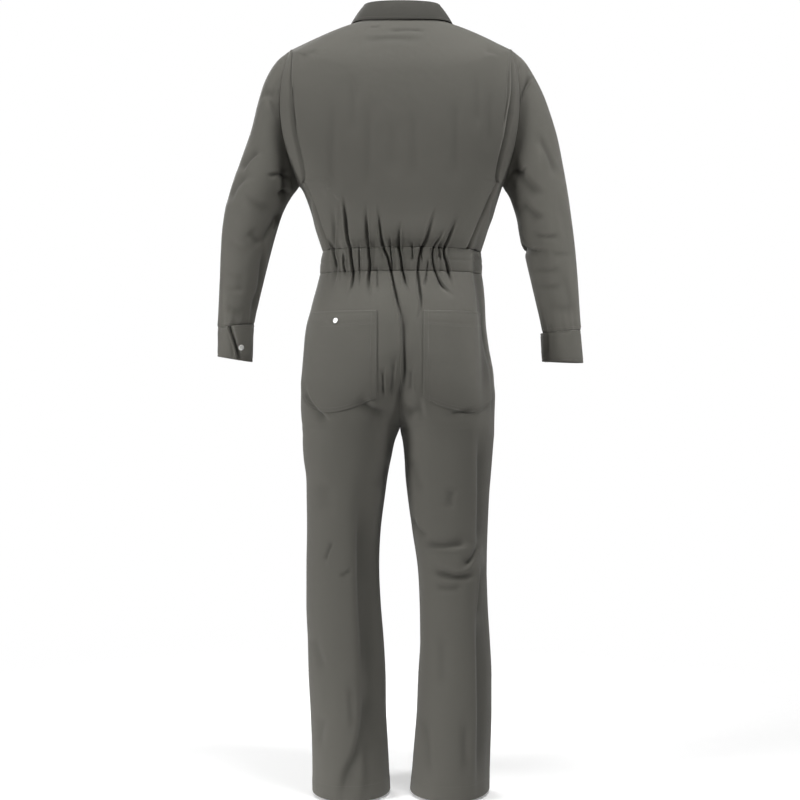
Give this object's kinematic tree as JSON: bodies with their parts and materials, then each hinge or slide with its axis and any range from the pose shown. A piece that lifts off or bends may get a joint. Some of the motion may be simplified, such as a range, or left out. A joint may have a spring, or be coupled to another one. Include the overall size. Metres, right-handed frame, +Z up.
{
  "type": "boiler suit",
  "caption": "Long-sleeved one-piece work suit with a folded collar, action-back pleats, an elastic back waist, hip pockets, studded cuffs and a stud-front placket.",
  "frame": {"origin": "the middle of the base of the neck, where the suit hangs from the wearer's shoulders", "axes": "+Z up towards the head, -Y out of the front, +X towards the wearer's left arm"},
  "size_m": [0.7571, 0.2807, 1.6054],
  "materials": {
    "twill": "matt grey poly-cotton twill",
    "twill_trim": "matt grey poly-cotton twill, several layers",
    "nickel": "nickel plated"
  },
  "bodies": {
    "root": {"back": "twill", "front_left": "twill", "front_right": "twill", "sleeve_left": "twill", "sleeve_right": "twill", "cuff_left": "twill_trim", "cuff_right": "twill_trim", "collar": "twill_trim", "waistband_back": "twill_trim", "waistband_front_left": "twill_trim", "waistband_front_right": "twill_trim", "leg_back_left": "twill", "leg_back_right": "twill", "leg_front_left": "twill", "leg_front_right": "twill", "hip_pocket_left": "twill_trim", "hip_pocket_right": "twill_trim", "front_placket": "twill_trim", "front_stud_1": "nickel", "front_stud_2": "nickel", "front_stud_3": "nickel", "front_stud_4": "nickel", "front_stud_5": "nickel", "front_stud_6": "nickel", "front_stud_7": "nickel", "front_stud_8": "nickel", "cuff_stud_left": "nickel", "cuff_stud_right": "nickel", "hip_pocket_stud": "nickel"}
  },
  "joints": []
}
